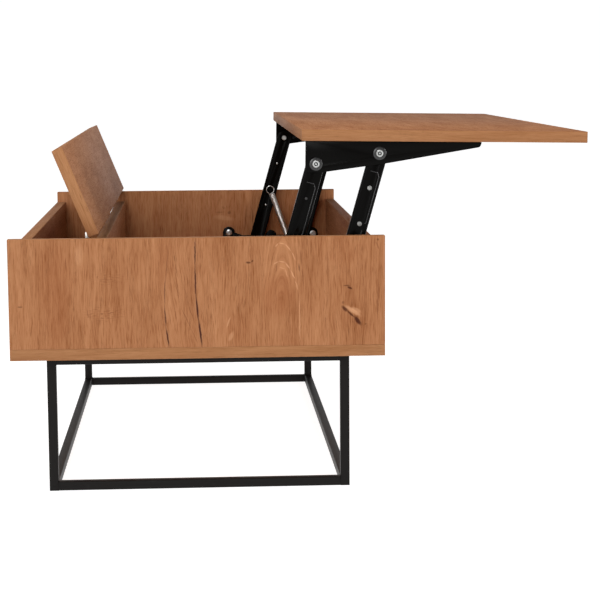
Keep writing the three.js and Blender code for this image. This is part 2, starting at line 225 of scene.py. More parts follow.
# The sine of the height where the room starts to dim, and where it is dimmest.
ROOM_HEIGHTS = (0.08, 0.45)
HORIZON_LIGHT = 1.02
OVERHEAD_LIGHT = 0.15
FLOOR_GLOW = 0.93
FLOOR_HALF = 30
FLOOR_DROP = 0.5 * MM
FLOOR_CORNERS = [(-1, -1), (1, -1), (1, 1), (-1, 1)]
scene.world = white_room()
scene.view_settings.view_transform = "Standard"

TABLE_MIDDLE = (0, 0, 0.3)
soft_panel("front_light", (-1.8, -4.4, 2.0), TABLE_MIDDLE, (2.2, 1.6), 63)
soft_panel("high_light", (-0.9, -0.8, 3.2), TABLE_MIDDLE, (1.6, 1.6), 72)
soft_panel("strip_light", (2.6, -1.8, 1.5), TABLE_MIDDLE, (0.16, 2.2), 42)


def pale_floor():
    material, _, shader = new_material("pale_floor")
    shader.inputs["Base Color"].default_value = (0.4, 0.4, 0.4, 1)
    shader.inputs["Roughness"].default_value = 0.8
    shader.inputs["Emission Color"].default_value = (1, 1, 1, 1)
    shader.inputs["Emission Strength"].default_value = FLOOR_GLOW
    return material


floor_mesh = bpy.data.meshes.new("floor")
floor_mesh.from_pydata(
    [(x * FLOOR_HALF, y * FLOOR_HALF, -FLOOR_DROP) for x, y in FLOOR_CORNERS],
    [],
    [(0, 1, 2, 3)],
)
floor = bpy.data.objects.new("floor", floor_mesh)
scene.collection.objects.link(floor)
floor.data.materials.append(pale_floor())
print("lights and floor are in place")


# %% [markdown]
# ## How oak-look board is put together
#
# The boards are pressed board with a printed oak surface, so they show real grain in
# colour but only a very shallow grain to the touch. The wood reads a UV map that is laid
# out in metres: U runs along the grain and V across it. One material then serves every
# board, whichever way it stands.
#
# The printed oak is made of layers, as real oak is: broad soft bands of tone, finer
# streaks that wander a little, and the short dark pores that give oak its texture. The
# pores are pressed in, and the darker tone very slightly, so both drive the bump.

# %% The oak print
RING_GAP = 3.6 * MM


def stretched(tree, along, across, along_scale, across_scale, depth):
    """A place on the print that is drawn out along the grain."""
    parts = {
        0: tree.math("MULTIPLY", along, along_scale),
        1: tree.math("MULTIPLY", across, across_scale),
        2: depth,
    }
    return tree.add("ShaderNodeCombineXYZ", parts)[0]


def grain_tone(tree, along, across, streak_scale):
    """How deep the oak's tone is, from its bands down to its finest dashes."""
    # Each layer: scale along and across the grain, depth, low, high and weight.
    layers = [
        (3.2, 17.0, 0.0, 0.28, 0.74, 0.40),
        (9.0, streak_scale, 3.1, 0.32, 0.70, 0.20),
        (15.0, streak_scale * 4.2, 7.7, 0.30, 0.72, 0.24),
        (44.0, streak_scale * 9.0, 9.2, 0.46, 0.68, 0.44),
    ]
    tone = 0.0
    for along_scale, across_scale, depth, low, high, weight in layers:
        place = stretched(tree, along, across, along_scale, across_scale, depth)
        layer = tree.between(tree.noise(place, 1.0, 3.0, 0.6), low, high)
        tone = tree.math("MULTIPLY_ADD", layer, weight, tone)
    return tone


def wandering_across(tree, along, across):
    """The place across the grain, made to wander a little along the board."""
    place = stretched(tree, along, across, 0.28, 1.0, 0.0)
    wander = tree.math("MULTIPLY_ADD", tree.noise(place, 11.0, 2.0), 0.018, -0.009)
    return tree.math("ADD", across, wander)


def oak(name, pale, deep, streak_scale, bent=False):
    """Printed oak. Pale and deep are its two tones. Bent oak reads the grain field."""
    material, tree, shader = new_material(name)
    uv = tree.add("ShaderNodeUVMap", uv_map="grain")[0]
    along, across, _ = tree.add("ShaderNodeSeparateXYZ", {0: uv})[:3]
    flow = wandering_across(tree, along, across)
    if bent:
        field = tree.add("ShaderNodeAttribute", attribute_name="grain_field")[1]
        push, arch, arch_share = tree.add("ShaderNodeSeparateXYZ", {0: field})[:3]
        flow = tree.math("SUBTRACT", flow, push)
    tone = grain_tone(tree, along, flow, streak_scale)
    if bent:
        ringed = grain_tone(tree, along, arch, streak_scale)
        mixed = {0: arch_share, 2: tone, 3: ringed}
        tone = tree.add("ShaderNodeMix", mixed, data_type="FLOAT")[0]
    color = tree.blend(tone, (*pale, 1), (*deep, 1))
    if bent:
        rings = tree.math("SINE", tree.math("MULTIPLY", arch, 2 * math.pi / RING_GAP))
        ring_share = tree.math("MULTIPLY", tree.between(rings, 0.2, 1.0), arch_share)
        lighter = tuple(v * 1.2 for v in pale)
        color = tree.blend(tree.math("MULTIPLY", ring_share, 0.4), color, (*lighter, 1))

    pores = tree.noise(stretched(tree, along, flow, 60.0, 1500.0, 1.3), 1.0, 2.0, 0.6)
    groups = tree.noise(stretched(tree, along, flow, 9.0, 70.0, 5.9), 1.0, 2.0, 0.5)
    pore_share = tree.math(
        "MULTIPLY", tree.between(pores, 0.56, 0.7), tree.between(groups, 0.4, 0.62)
    )
    dark = tuple(v * 0.42 for v in deep)
    color = tree.blend(tree.math("MULTIPLY", pore_share, 0.6), color, (*dark, 1))

    height = tree.math("MULTIPLY_ADD", pore_share, -1.0, tree.math("MULTIPLY", tone, -0.3))
    bump = tree.add(
        "ShaderNodeBump", {"Height": height, "Strength": 0.35, "Distance": PORE_DEPTH}
    )[0]
    rough = tree.math("MULTIPLY_ADD", pore_share, 0.2, tree.math("MULTIPLY_ADD", tone, 0.08, 0.56))
    tree.tree.links.new(rough, shader.inputs["Roughness"])
    tree.tree.links.new(bump, shader.inputs["Normal"])
    tree.tree.links.new(color, shader.inputs["Base Color"])
    shader.inputs["Specular IOR Level"].default_value = OAK_GLOSS
    return material, tree, shader, uv, color


PORE_DEPTH = 0.35 * MM
OAK_GLOSS = 0.08
OAK_STREAKS = 95.0
EDGE_STREAKS = 240.0
OAK_PALE = (0.410, 0.188, 0.086)
OAK_DEEP = (0.205, 0.069, 0.023)
EDGE_PALE = (0.370, 0.178, 0.081)
EDGE_DEEP = (0.215, 0.084, 0.030)
face_oak = oak("oak_face", OAK_PALE, OAK_DEEP, OAK_STREAKS)[0]
edge_oak = oak("oak_edge_band", EDGE_PALE, EDGE_DEEP, EDGE_STREAKS)[0]
print("made", face_oak.name, "and", edge_oak.name)


# %% [markdown]
# ## Clean copies of the design's parts
#
# The design's parts have the right shape, but every edge on them is razor sharp. Real
# board edges are eased and real sheet steel has a small radius, and that radius is what
# catches the light. So a part is copied, its loose triangles are merged into whole
# faces, and a narrow bevel softens the edges. The bevel cuts inwards, so the part
# keeps its size.

# %% Softened copies
def add_piece(name, mesh, body, replaced=()):
    """A finished mesh as an object at the origin that rides on a body."""
    piece = bpy.data.objects.new(name, mesh)
    scene.collection.objects.link(piece)
    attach(piece, body)
    if replaced:
        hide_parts(*replaced)
    return piece


def body_of(node):
    """The name of the body that a design part belongs to."""
    return frame["nodes"][node]["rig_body"]


def merged_copy(node):
    """A part's mesh as a bmesh with whole faces."""
    shape = bmesh.new()
    shape.from_mesh(frame["nodes"][node].data)
    bmesh.ops.remove_doubles(shape, verts=shape.verts, dist=0.004 * MM)
    bmesh.ops.dissolve_limit(
        shape, angle_limit=math.radians(0.8), verts=shape.verts, edges=shape.edges
    )
    return shape


def smooth_below(shape, angle):
    """Shades faces smooth across edges flatter than angle, in degrees."""
    for face in shape.faces:
        face.smooth = True
    for edge in shape.edges:
        flat = len(edge.link_faces) == 2 and edge.calc_face_angle(0.0) < math.radians(angle)
        edge.smooth = flat


def soften(shape, width, sharper_than=35, segments=2):
    """Bevels the edges that turn more than an angle."""
    sharp = [
        edge
        for edge in shape.edges
        if len(edge.link_faces) == 2
        and abs(edge.calc_face_angle(0.0)) > math.radians(sharper_than)
    ]
    bmesh.ops.bevel(
        shape, geom=sharp, offset=width, offset_type="OFFSET", segments=segments,
        profile=0.5, affect="EDGES", clamp_overlap=True,
    )


def finish_mesh(shape, name, *materials):
    """The bmesh as a mesh with its materials."""
    mesh = bpy.data.meshes.new(name)
    shape.to_mesh(mesh)
    shape.free()
    for material in materials:
        mesh.materials.append(material)
    return mesh


print("copy helpers are ready")


# %% [markdown]
# ## The boards
#
# A board has two broad faces and four banded edges. Its thickness is the direction that
# its largest faces look in. The broad faces get the oak face and the rest get the edge
# band, whose lines always run along the edge. Each board starts at a different place in
# the print, so that no two look alike.
#
# The copies are made by the same few functions for every board, so those come first.

# %% Board helpers
BOARD_EASE = 0.6 * MM


def toward_plus(direction):
    """The direction or its opposite, so that its largest part is positive."""
    largest = max(direction, key=abs)
    return direction if largest > 0 else -direction


def board_axes(shape, grain):
    """The board's thickness, grain and cross directions."""
    largest = max(shape.faces, key=lambda face: face.calc_area())
    thickness = toward_plus(largest.normal.copy())
    along = (grain - grain.dot(thickness) * thickness).normalized()
    return thickness, along, toward_plus(thickness.cross(along))


def lay_grain(shape, axes, print_start):
    """Writes the grain UV map and gives each face the face or edge material."""
    thickness, along, cross = axes
    corner = Vector(min((v.co for v in shape.verts), key=lambda co: co.dot(along + cross)))
    layer = shape.loops.layers.uv.new("grain")
    for face in shape.faces:
        normal = face.normal
        face.material_index = 0 if abs(normal.dot(thickness)) > 0.5 else 1
        u_axis, v_axis = along, cross
        if face.material_index == 1:
            v_axis = thickness
            if abs(normal.dot(along)) > 0.5:
                u_axis = cross
        for loop in face.loops:
            place = loop.vert.co - corner
            u = place.dot(u_axis) + print_start[0]
            v = place.dot(v_axis) + print_start[1]
            loop[layer].uv = (u, v)


def make_board(node, grain, print_start):
    """One oak board in place of the design's plain one."""
    shape = merged_copy(node)
    axes = board_axes(shape, grain)
    soften(shape, BOARD_EASE)
    lay_grain(shape, axes, print_start)
    smooth_below(shape, 30)
    mesh = finish_mesh(shape, f"{node}_oak", face_oak, edge_oak)
    return add_piece(f"{node}_oak", mesh, body_of(node), [node])


print("board helpers are ready")

# %% [markdown]
# ### The six boards with plain print
#
# The base board, the side walls, the divider, the lift top and the narrow lid are sawn
# from long sheets, with the grain along the table. Nothing on them needs a mark of its
# own, so one loop makes all six. The two end panels have upright grain and their own
# marks, and they come next.

# %% Make the boards
LONG_BOARDS = [
    "base_board", "left_side_wall", "right_side_wall", "divider", "lift_top_panel", "narrow_lid",
]
for number, node in enumerate(LONG_BOARDS):
    make_board(node, Y_AXIS, (1.7 * number + 0.9, 0.83 * number + 0.6))
print("made", len(LONG_BOARDS), "boards")


# %% [markdown]
# ## The near end panel
#
# This panel is the one that is seen best, and its print has features that the others do
# not show: two long cracks that lean over at the foot, a cathedral arch where the saw
# cut a growth ring flat, a few knots, and two patches of wavy figure.
#
# The grain bends round these features. A fine grid of points on the panel stores how far
# the grain is pushed aside at each place, and the oak material reads that. The cracks
# and knots are thin, so they are drawn as strokes inside the material, where they stay
# crisp at any size.

# %% Where the grain bends
PANEL_GRID = 4 * MM
ARCH_MIDDLE = 0.4365
ARCH_FOOT = 0.0


def smooth_step(values, low, high):
    share = np.clip((values - low) / (high - low), 0, 1)
    return share * share * (3 - 2 * share)


def lean_at_foot(up):
    """How far the cracks have moved to the right at a height above the panel's foot."""
    return 0.0098 * np.clip((0.084 - up) / 0.077, 0, 1.1) ** 1.3


def grain_field(across, up):
    """Sideways push, arch coordinate and arch share at each point of the panel."""
    near_cracks = np.exp(-(((across - 0.280) / 0.045) ** 2))
    push = lean_at_foot(up) * near_cracks
    belly = smooth_step(up, 0.010, 0.070) * (1 - smooth_step(up, 0.090, 0.170))
    push += 0.0085 * belly * np.exp(-(((across - 0.274) / 0.016) ** 2))
    knot_bulge = np.exp(-(((up - 0.048) / 0.022) ** 2))
    push += 0.006 * np.tanh((across - 0.545) / 0.012) * knot_bulge * np.exp(
        -(((across - 0.545) / 0.03) ** 2)
    )
    lean = 0.045 * (up - 0.16)
    aside = across - ARCH_MIDDLE - lean
    arch = np.sqrt(aside**2 + 0.0048 * np.clip(up - ARCH_FOOT, 0, 1)) + 3.0
    share = 1 - smooth_step(np.abs(aside), 0.024, 0.040)
    return np.stack([push, arch, 0.75 * share * smooth_step(up, 0.055, 0.125)], axis=1)


print("grain pushed aside by up to", round(float(lean_at_foot(np.array([0.0]))[0]) / MM, 1), "mm")

# %% [markdown]
# ### Cracks, knots and paler figure
#
# A crack or a knot in a print is only ink, so no shape is cut for it. Each mark is a
# short stroke with soft ends, and a crack is a chain of strokes that overlap. Painting
# them as an image would fix how fine they can be, and strokes inside the material stay
# sharp however near the eye comes. The broad warm patches are strokes too, very wide
# and faint. A little noise bends all the thin ones, so that none is quite straight.

# %% Cracks and knots
# Each stroke: (across, up) of its two ends, its width, and how dark it is, in metres.
CRACK_STROKES = [
    ((0.2966, 0.179), (0.2959, 0.122), 0.0023, 0.8),
    ((0.2957, 0.134), (0.2968, 0.074), 0.0025, 0.95),
    ((0.2966, 0.086), (0.3010, 0.038), 0.0027, 1.0),
    ((0.3004, 0.048), (0.3062, -0.002), 0.0030, 1.0),
    ((0.2545, 0.160), (0.2482, 0.104), 0.0012, 0.35),
    ((0.2482, 0.116), (0.2468, 0.064), 0.0017, 0.6),
    ((0.2467, 0.070), (0.2490, 0.028), 0.0020, 0.8),
    ((0.2484, 0.034), (0.2535, -0.002), 0.0024, 0.95),
]
FLOW_STROKES = [
    ((0.2680, 0.141), (0.2630, 0.106), 0.0012, 0.35),
    ((0.2630, 0.112), (0.2730, 0.062), 0.0013, 0.40),
    ((0.2725, 0.066), (0.2900, 0.026), 0.0013, 0.45),
    ((0.2885, 0.030), (0.3000, 0.004), 0.0013, 0.40),
    ((0.2790, 0.131), (0.2780, 0.098), 0.0012, 0.35),
    ((0.2778, 0.102), (0.2850, 0.064), 0.0012, 0.40),
    ((0.2845, 0.068), (0.2960, 0.036), 0.0012, 0.45),
    ((0.2890, 0.112), (0.2880, 0.084), 0.0011, 0.30),
    ((0.2880, 0.088), (0.2960, 0.054), 0.0011, 0.40),
    ((0.2560, 0.120), (0.2580, 0.080), 0.0011, 0.30),
    ((0.2575, 0.084), (0.2680, 0.034), 0.0012, 0.35),
    ((0.4640, 0.158), (0.4660, 0.126), 0.0026, 0.45),
    ((0.4660, 0.130), (0.4690, 0.092), 0.0020, 0.35),
    ((0.5895, 0.115), (0.5870, 0.036), 0.0024, 0.55),
    ((0.5850, 0.168), (0.5905, 0.152), 0.0020, 0.45),
    ((0.0910, 0.148), (0.0915, 0.122), 0.0014, 0.45),
    ((0.0780, 0.080), (0.0790, 0.030), 0.0013, 0.30),
    ((0.0620, 0.100), (0.0625, 0.060), 0.0012, 0.30),
    ((0.1240, 0.066), (0.1250, 0.048), 0.0020, 0.45),
    ((0.3430, 0.110), (0.3440, 0.050), 0.0012, 0.25),
    ((0.5080, 0.150), (0.5085, 0.086), 0.0012, 0.25),
]
KNOT_STROKES = [
    ((0.3760, 0.1355), (0.3860, 0.1345), 0.0032, 0.75),
    ((0.3850, 0.1360), (0.3890, 0.1390), 0.0026, 0.7),
    ((0.4612, 0.134), (0.4622, 0.118), 0.0022, 0.6),
    ((0.5310, 0.0965), (0.5450, 0.0965), 0.0020, 0.6),
    ((0.5380, 0.0950), (0.5480, 0.0900), 0.0034, 0.85),
    ((0.5290, 0.0640), (0.5400, 0.0540), 0.0050, 0.85),
    ((0.5370, 0.0570), (0.5510, 0.0440), 0.0028, 0.85),
    ((0.5490, 0.0480), (0.5620, 0.0310), 0.0058, 0.95),
    ((0.5300, 0.0710), (0.5340, 0.0670), 0.0040, 0.4),
    ((0.5670, 0.0350), (0.5690, 0.0330), 0.0040, 0.5),
    ((0.5860, 0.1705), (0.5905, 0.1690), 0.0034, 0.5),
    ((0.0130, 0.0680), (0.0230, 0.0690), 0.0024, 0.45),
]
PALE_STROKES = [
    ((0.5330, 0.0650), (0.5620, 0.0460), 0.0060, 0.6),
    ((0.5450, 0.0610), (0.5620, 0.0520), 0.0060, 0.40),
    ((0.1130, 0.1700), (0.1120, 0.1300), 0.0110, 0.25),
    ((0.4620, 0.0900), (0.4625, 0.0000), 0.0018, 0.5),
    ((0.4235, 0.1590), (0.4300, 0.1665), 0.0018, 0.5),
    ((0.4290, 0.1660), (0.4400, 0.1640), 0.0018, 0.6),
    ((0.4390, 0.1650), (0.4500, 0.1520), 0.0018, 0.6),
    ((0.4495, 0.1530), (0.4565, 0.1360), 0.0018, 0.5),
    ((0.4200, 0.1310), (0.4300, 0.1370), 0.0018, 0.5),
    ((0.4290, 0.1370), (0.4400, 0.1345), 0.0018, 0.6),
    ((0.4390, 0.1355), (0.4480, 0.1230), 0.0018, 0.6),
    ((0.4475, 0.1240), (0.4560, 0.1060), 0.0018, 0.6),
    ((0.4555, 0.1070), (0.4600, 0.0880), 0.0018, 0.5),
    ((0.4300, 0.1270), (0.4400, 0.1240), 0.0016, 0.4),
    ((0.4390, 0.1250), (0.4440, 0.1100), 0.0016, 0.4),
    ((0.3560, 0.0260), (0.3480, 0.0080), 0.0060, 0.35),
    ((0.3520, 0.0500), (0.3450, 0.0300), 0.0022, 0.45),
]
WARM_PATCHES = [
    ((0.0760, 0.190), (0.0760, -0.010), 0.046, 0.26),
    ((0.4290, 0.130), (0.4300, 0.040), 0.046, 0.30),
    ((0.2450, 0.190), (0.2450, 0.080), 0.030, 0.16),
    ((0.3600, 0.060), (0.3600, 0.000), 0.040, 0.16),
    ((0.5300, 0.190), (0.5300, 0.120), 0.050, 0.14),
]


def stroke_share(tree, uv, ends, width):
    """1 inside a stroke and 0 outside it, for a panel whose U is up and V is across."""
    (across_0, up_0), (across_1, up_1) = ends
    run = Vector((up_1 - up_0, across_1 - across_0))
    middle = ((up_0 + up_1) / 2, (across_0 + across_1) / 2, 0)
    inside = tree.add(
        "ShaderNodeMapping",
        {
            "Vector": uv,
            "Location": middle,
            "Rotation": (0, 0, math.atan2(run.y, run.x)),
            "Scale": (run.length * 0.56, width * 0.75, 1),
        },
        vector_type="TEXTURE",
    )[0]
    distance = tree.add("ShaderNodeVectorMath", {0: inside}, operation="LENGTH")[1]
    return tree.between(distance, 0.35, 1.0, 1.0, 0.0)


def add_strokes(tree, uv, color, strokes, ink):
    """Draws strokes over a colour."""
    for start, end, width, strength in strokes:
        share = stroke_share(tree, uv, (start, end), width)
        color = tree.blend(tree.math("MULTIPLY", share, strength), color, (*ink, 1))
    return color


def marked_oak(name, print_start, cracks, knots, pale_patches, flow=(), warm=()):
    """The oak face with a panel's own cracks, knots and figure."""
    material, tree, shader, uv, color = oak(name, OAK_PALE, OAK_DEEP, OAK_STREAKS, bent=True)
    start = (print_start[0], print_start[1], 0)
    uv = tree.add("ShaderNodeVectorMath", {0: uv, 1: start}, operation="SUBTRACT")[0]
    wobble = tree.add("ShaderNodeTexNoise", {"Vector": uv, "Scale": 160.0, "Detail": 2.0})[1]
    bent = tree.add(
        "ShaderNodeVectorMath", {0: wobble, 1: (0.0022, 0.0022, 0), 2: uv},
        operation="MULTIPLY_ADD",
    )[0]
    bent = tree.add(
        "ShaderNodeVectorMath", {0: bent, 1: (0.0011, 0.0011, 0)}, operation="SUBTRACT"
    )[0]
    color = add_strokes(tree, uv, color, warm, (0.22, 0.064, 0.020))
    color = add_strokes(tree, bent, color, pale_patches, (0.56, 0.29, 0.15))
    color = add_strokes(tree, bent, color, flow, (0.13, 0.038, 0.013))
    color = add_strokes(tree, bent, color, knots, (0.055, 0.014, 0.006))
    color = add_strokes(tree, bent, color, cracks, (0.055, 0.018, 0.013))
    flecks = tree.add("ShaderNodeAttribute", attribute_name="figure")[2]
    waves_place = tree.add("ShaderNodeMapping", {"Vector": uv, "Scale": (520, 90, 1)})[0]
    waves = tree.between(tree.noise(waves_place, 1.0, 3.0, 0.6), 0.48, 0.66)
    share = tree.math("MULTIPLY", tree.math("MULTIPLY", waves, flecks), 0.8)
    color = tree.blend(share, color, (0.16, 0.055, 0.022, 1))
    tree.tree.links.new(color, shader.inputs["Base Color"])
    return material


panel_oak = marked_oak(
    "oak_near_panel", (0, 0), CRACK_STROKES, KNOT_STROKES, PALE_STROKES,
    flow=FLOW_STROKES, warm=WARM_PATCHES,
)
print("near panel has", len(CRACK_STROKES), "crack strokes and", len(KNOT_STROKES), "knot marks")

# %% [markdown]
# ### The near end panel's board
#
# The board itself is made like the others, and then cut into a fine grid. The grid is
# there for the grain field: a point can hold a value, and the material reads it smoothly
# from point to point. The wavy figure is held in the same way.

# %% Make the near end panel
# Each patch of wavy figure: middle, height, half width and half height, in metres.
FIGURE_PATCHES = [(0.156, 0.112, 0.022, 0.008), (0.152, 0.056, 0.030, 0.010)]


def cut_grid(shape, corner, size):
    """Cuts the panel's faces into a grid along X and Z."""
    for axis, length in ((X_AXIS, size.x), (Z_AXIS, size.z)):
        for step in range(1, int(length / PANEL_GRID)):
            place = corner + axis * step * PANEL_GRID
            everything = shape.verts[:] + shape.edges[:] + shape.faces[:]
            bmesh.ops.bisect_plane(shape, geom=everything, plane_co=place, plane_no=axis)


def make_near_panel():
    """The near end panel, with its grain field stored on its points."""
    shape = merged_copy("near_end_panel")
    axes = board_axes(shape, Z_AXIS)
    low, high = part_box("near_end_panel")
    soften(shape, BOARD_EASE)
    cut_grid(shape, low, high - low)
    lay_grain(shape, axes, (0, 0))
    smooth_below(shape, 30)
    mesh = finish_mesh(shape, "near_end_panel_oak", panel_oak, edge_oak)
    places = np.array([v.co for v in mesh.vertices])
    across = places[:, 0] - low.x
    up = places[:, 2] - low.z
    field = mesh.attributes.new("grain_field", "FLOAT_VECTOR", "POINT")
    field.data.foreach_set("vector", grain_field(across, up).astype(np.float32).ravel())
    figure = np.zeros(len(places))
    for middle, height, half_width, half_height in FIGURE_PATCHES:
        reach = ((across - middle) / half_width) ** 2 + ((up - height) / half_height) ** 2
        figure = np.maximum(figure, np.exp(-reach))
    mesh.attributes.new("figure", "FLOAT", "POINT").data.foreach_set(
        "value", figure.astype(np.float32)
    )
    return add_piece("near_end_panel_oak", mesh, "case", ["near_end_panel"])


near_panel = make_near_panel()
print("near panel has", len(near_panel.data.vertices), "points")


# %% [markdown]
# ## The far end panel
#
# Its inner face shows past the arms. It has one soft knot with a lighter ring of grain
# beside it, so it gets the same kind of marks, set out from its own print start.

# %% Make the far end panel
FAR_PRINT_START = (2.6, 1.43)
FAR_KNOTS = [
    ((0.3690, 0.131), (0.3735, 0.124), 0.0065, 0.45),
    ((0.3540, 0.142), (0.3640, 0.135), 0.0050, 0.25),
    ((0.3400, 0.128), (0.3620, 0.129), 0.0030, 0.25),
    ((0.4100, 0.150), (0.4040, 0.085), 0.0035, 0.30),
    ((0.4200, 0.160), (0.4230, 0.070), 0.0025, 0.35),
]
FAR_PALE = [((0.3350, 0.120), (0.3850, 0.112), 0.0100, 0.25)]


def make_far_panel():
    shape = merged_copy("far_end_panel")
    axes = board_axes(shape, Z_AXIS)
    soften(shape, BOARD_EASE)
    lay_grain(shape, axes, FAR_PRINT_START)
    smooth_below(shape, 30)
    face = marked_oak("oak_far_panel", FAR_PRINT_START, [], FAR_KNOTS, FAR_PALE)
    mesh = finish_mesh(shape, "far_end_panel_oak", face, edge_oak)
    return add_piece("far_end_panel_oak", mesh, "case", ["far_end_panel"])


make_far_panel()
print("far panel has", len(FAR_KNOTS), "knot marks")


# %% [markdown]
# ## Painted and plated metal
#
# The frame and the arms are steel with a black powder coat, which has a very fine orange
# peel and a few paler rubs. The arms are glossier than the frame. Bolts and springs are
# zinc plated, and the lid's hinges are nickel plated. Plating is a metal surface whose
# roughness changes a little from place to place.

# %% Coatings
def coated_steel(name, color, roughness, gloss, rub):
    """Powder coat: a fine peel in the bump, and rubs that are paler and smoother."""
    material, tree, shader = new_material(name)
    place = tree.add("ShaderNodeTexCoord")[3]
    peel = tree.noise(place, 900.0, 2.0)
    rubs = tree.noise(place, 38.0, 6.0, 0.7)
    rub_share = tree.between(rubs, 0.60, 0.74)
    paler = tuple(v + rub for v in color)
    mixed = tree.blend(rub_share, (*color, 1), (*paler, 1))
    tree.tree.links.new(mixed, shader.inputs["Base Color"])
    rough = tree.math("MULTIPLY_ADD", peel, 0.12, roughness - 0.06)
    rough = tree.math("MULTIPLY_ADD", rub_share, -0.08, rough)
    tree.tree.links.new(rough, shader.inputs["Roughness"])
    bump = tree.add("ShaderNodeBump", {"Height": peel, "Strength": 0.25, "Distance": 0.0003})[0]
    tree.tree.links.new(bump, shader.inputs["Normal"])
    shader.inputs["Specular IOR Level"].default_value = gloss
    return material


def plated(name, color, roughness, brush=(1, 1, 1), cloudiness=0.28):
    """Bright plating, with a faint cloud or brush in its roughness and tone."""
    material, tree, shader = new_material(name)
    place = tree.add("ShaderNodeTexCoord")[3]
    drawn = tree.add("ShaderNodeMapping", {"Vector": place, "Scale": brush})[0]
    cloud = tree.noise(drawn, 260.0, 4.0, 0.6)
    darker = tuple(v * (1 - cloudiness) for v in color)
    mixed = tree.blend(tree.between(cloud, 0.35, 0.7), (*color, 1), (*darker, 1))
    tree.tree.links.new(mixed, shader.inputs["Base Color"])
    rough = tree.math("MULTIPLY_ADD", cloud, 0.22, roughness - 0.11)
    tree.tree.links.new(rough, shader.inputs["Roughness"])
    bump = tree.add("ShaderNodeBump", {"Height": cloud, "Strength": 0.12, "Distance": 0.0002})[0]
    tree.tree.links.new(bump, shader.inputs["Normal"])
    shader.inputs["Metallic"].default_value = 1.0
    return material


def clear_rubber():
    """A soft see-through bumper with a slight bloom on it."""
    material, tree, shader = new_material("clear_bumper")
    place = tree.add("ShaderNodeTexCoord")[3]
    bloom = tree.noise(place, 420.0, 3.0)
    tree.tree.links.new(
        tree.math("MULTIPLY_ADD", bloom, 0.2, 0.18), shader.inputs["Roughness"]
    )
    tone = tree.blend(bloom, (0.80, 0.82, 0.83, 1), (0.92, 0.93, 0.93, 1))
    tree.tree.links.new(tone, shader.inputs["Base Color"])
    shader.inputs["Transmission Weight"].default_value = 0.65
    shader.inputs["IOR"].default_value = 1.45
    return material


arm_black = coated_steel("arm_black_coat", (0.0014, 0.0012, 0.0010), 0.24, 0.055, 0.003)
boss_black = coated_steel("boss_black_coat", (0.014, 0.014, 0.014), 0.26, 0.5, 0.02)
frame_black = coated_steel("frame_black_coat", (0.0065, 0.0055, 0.005), 0.45, 0.12, 0.005)
zinc = plated("zinc_plate", (0.56, 0.57, 0.56), 0.36)
dull_zinc = plated("dull_zinc_plate", (0.30, 0.30, 0.29), 0.6)
spring_steel = plated("spring_wire", (0.78, 0.78, 0.76), 0.34, cloudiness=0.08)
nickel = plated("nickel_plate", (0.62, 0.60, 0.57), 0.3, (1, 6, 1))
bumper_clear = clear_rubber()
print("made eight finishes for metal and rubber")


# %% [markdown]
# ## The tube frame
#
# Twelve lengths of 15 mm square tube are welded into a box. A rolled tube has rounded
# long edges, so each one is made again in its part's own box, with those edges rounded
# and its ends closed. Putting every tube into one mesh keeps the frame as the single
# welded thing that it is.

# %% Tubes
TUBE_CORNER = 1.6 * MM
FRAME_TUBES = [node for node in frame["nodes"] if node.endswith(("_rail", "_leg"))]


def closed_tube(node):
    """A length of tube from the box of its part: rounded long edges and closed ends."""
    low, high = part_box(node)
    shape = bmesh.new()
    bmesh.ops.create_cube(shape, size=1)
    size = high - low
    for vert in shape.verts:
        vert.co = Vector([vert.co[i] * size[i] for i in range(3)]) + (low + high) / 2
    long_axis = max(range(3), key=lambda i: size[i])
    long_edges = [
        edge
        for edge in shape.edges
        if abs((edge.verts[0].co - edge.verts[1].co)[long_axis]) > 0.5 * size[long_axis]
    ]
    bmesh.ops.bevel(
        shape, geom=long_edges, offset=TUBE_CORNER, segments=4, profile=0.5, affect="EDGES"
    )
    return shape


def make_frame():
    whole = bmesh.new()
    for node in FRAME_TUBES:
        shape = closed_tube(node)
        part = bpy.data.meshes.new("tube")
        shape.to_mesh(part)
        shape.free()
        whole.from_mesh(part)
        bpy.data.meshes.remove(part)
    smooth_below(whole, 40)
    mesh = finish_mesh(whole, "tube_frame", frame_black)
    return add_piece("tube_frame", mesh, "case", FRAME_TUBES)


make_frame()
print("frame has", len(FRAME_TUBES), "tubes")

# %% [markdown]
# ### Welds
#
# A weld is a thin bead that follows the line where two tubes meet. It could be modelled
# one joint at a time, but it is a path, so Geometry Nodes can lay them all: the tree
# turns a wire loop into a curve and sweeps a small round bead along it. At the floor the
# path is lifted by the bead's own radius, so that no bead goes through the floor.

# %% Weld beads
WELD_BEAD = 1.1 * MM


def new_geometry_tree(name, inputs):
    """A Geometry Nodes tree with named inputs: (tree, input outputs, socket ids)."""
    group = bpy.data.node_groups.new(name, "GeometryNodeTree")
    group.interface.new_socket("Geometry", in_out="INPUT", socket_type="NodeSocketGeometry")
    ids = {}
    for label, kind in inputs:
        socket = group.interface.new_socket(label, in_out="INPUT", socket_type=kind)
        ids[label] = socket.identifier
    group.interface.new_socket("Geometry", in_out="OUTPUT", socket_type="NodeSocketGeometry")
    tree = Tree(group)
    return tree, tree.add("NodeGroupInput"), ids


def end_tree(tree, geometry, material):
    """Realize Instances, Set Material and the output."""
    real = tree.add("GeometryNodeRealizeInstances", {0: geometry})[0]
    painted = tree.add("GeometryNodeSetMaterial", {0: real, "Material": material})[0]
    tree.add("NodeGroupOutput", {0: painted})


